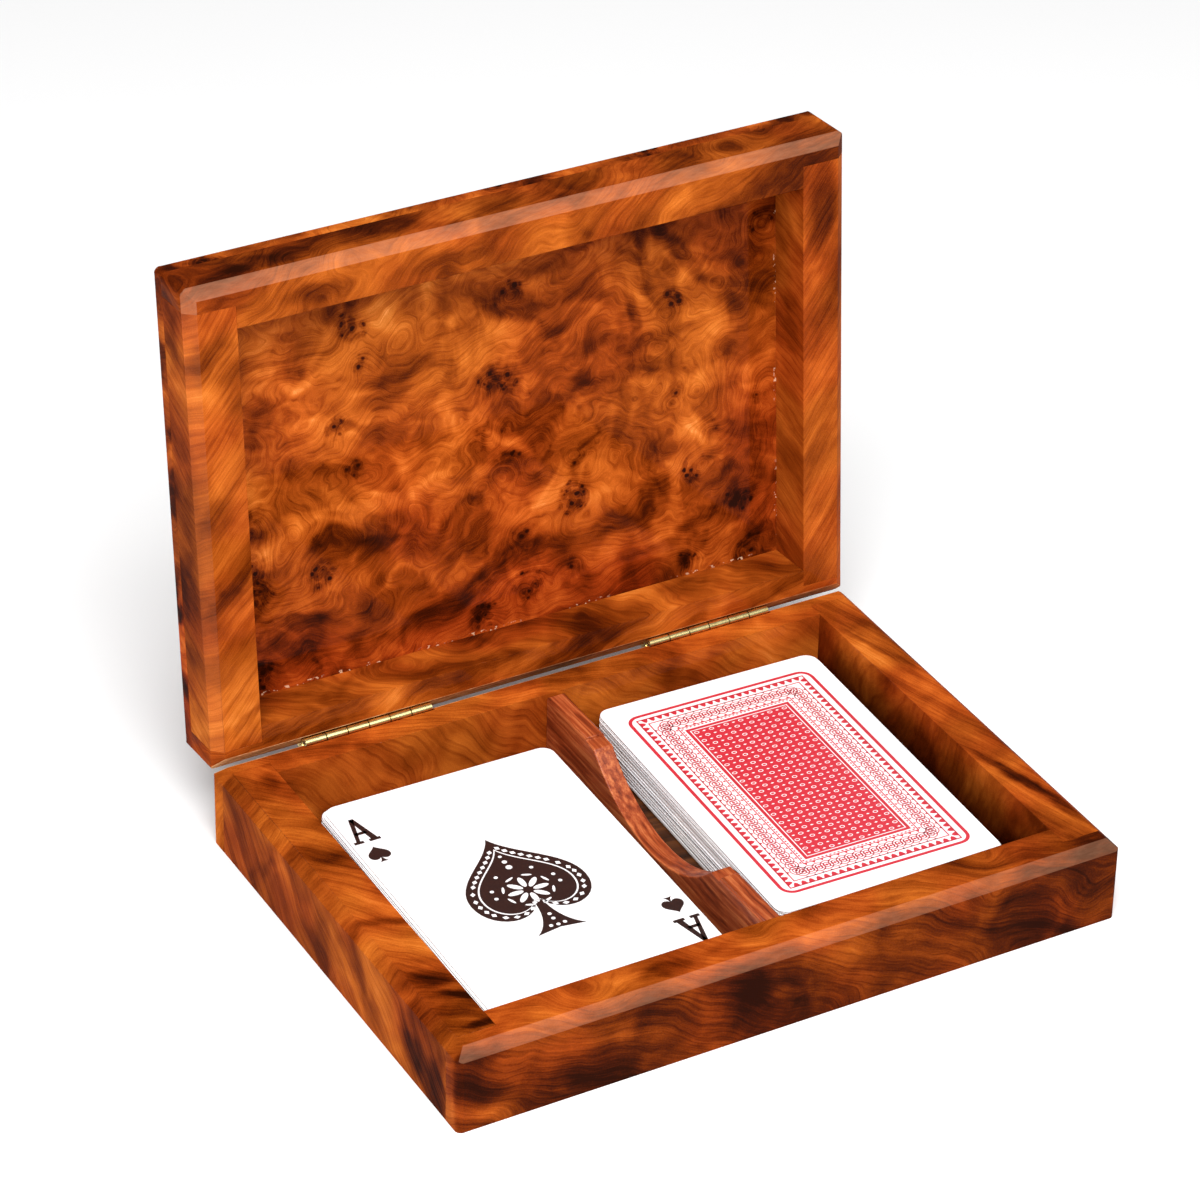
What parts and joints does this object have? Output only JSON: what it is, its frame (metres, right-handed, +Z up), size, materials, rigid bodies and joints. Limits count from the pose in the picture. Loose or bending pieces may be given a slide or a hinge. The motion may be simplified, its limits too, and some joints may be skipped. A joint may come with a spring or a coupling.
{
  "type": "playing card box with hinged lid",
  "caption": "Shallow varnished burl-wood box for playing cards, with a hinged lid, a divider with a finger scoop and card packs lying in its wells.",
  "frame": {"origin": "middle of the base's flat underside, on the surface that the box stands on", "axes": "+X from left to right along the hinge line, +Y from the front to the hinge side, +Z up from the table"},
  "size_m": [0.166, 0.1438, 0.1383],
  "materials": {
    "varnished_rail": "glossy varnish on burl",
    "burl_board": "glossy varnish on burl",
    "floor_board": "satin",
    "divider_wood": "satin varnish",
    "brass_leaf": "polished",
    "brass_nail": "polished",
    "hinge_pin": "drawn wire",
    "card_stock": "smooth coated"
  },
  "bodies": {
    "base": {"base_front_rail": "varnished_rail", "base_back_rail": "varnished_rail", "base_left_rail": "varnished_rail", "base_right_rail": "varnished_rail", "base_floor_panel": "floor_board", "card_divider": "divider_wood", "left_hinge_base_leaf": "brass_leaf", "right_hinge_base_leaf": "brass_leaf", "left_hinge_pin": "hinge_pin", "right_hinge_pin": "hinge_pin", "base_hinge_nails": "brass_nail"},
    "lid": {"lid_front_rail": "varnished_rail", "lid_back_rail": "varnished_rail", "lid_left_rail": "varnished_rail", "lid_right_rail": "varnished_rail", "lid_top_panel": "burl_board", "left_hinge_lid_leaf": "brass_leaf", "right_hinge_lid_leaf": "brass_leaf", "lid_hinge_nails": "brass_nail"},
    "left_deck": {"left_deck_cards": "card_stock", "left_top_card": "card_stock"},
    "right_deck": {"right_deck_cards": "card_stock", "right_top_card": "card_stock"}
  },
  "joints": [
    {"name": "lid_hinge", "type": "hinge", "parent": "base", "child": "lid", "pos_m": [0, 0.05783, 0.021], "axis": [1, 0, 0], "range_deg": [0, 94.5]},
    {"name": "left_deck_lift", "type": "slide", "parent": "base", "child": "left_deck", "axis": [0, 0, 1], "range_m": [0, 0.06]},
    {"name": "right_deck_lift", "type": "slide", "parent": "base", "child": "right_deck", "axis": [0, 0, 1], "range_m": [0, 0.06]}
  ]
}
